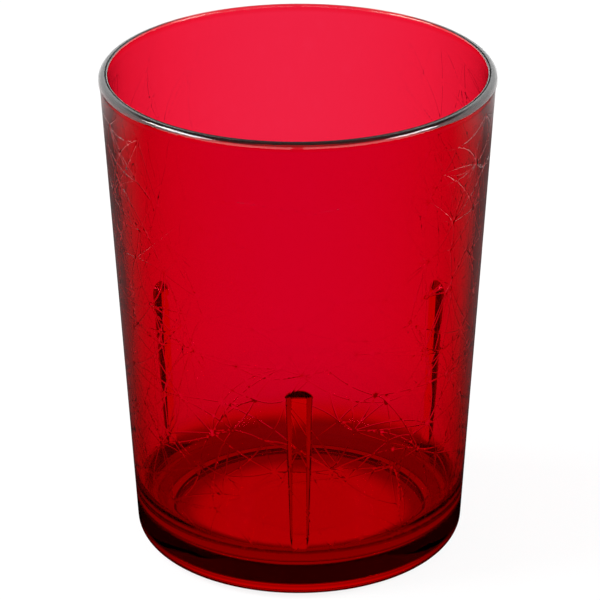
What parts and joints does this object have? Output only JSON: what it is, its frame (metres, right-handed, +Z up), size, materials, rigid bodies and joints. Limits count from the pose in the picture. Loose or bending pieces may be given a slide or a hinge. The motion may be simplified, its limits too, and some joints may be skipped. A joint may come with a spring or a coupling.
{
  "type": "tumbler",
  "caption": "Clear red moulded plastic drinking tumbler with a crackled wall, a ring foot and inner stacking ribs.",
  "frame": {"origin": "centre of the foot, on the table", "axes": "+Z up along the axis of the tumbler, -Y towards one stacking rib and the picture's camera, +X to the right"},
  "size_m": [0.0824, 0.0824, 0.1052],
  "materials": {
    "red_plastic": "clear ruby red, polished, with a fine crackle moulded into the outside wall"
  },
  "bodies": {
    "root": {"tumbler": "red_plastic"}
  },
  "joints": []
}
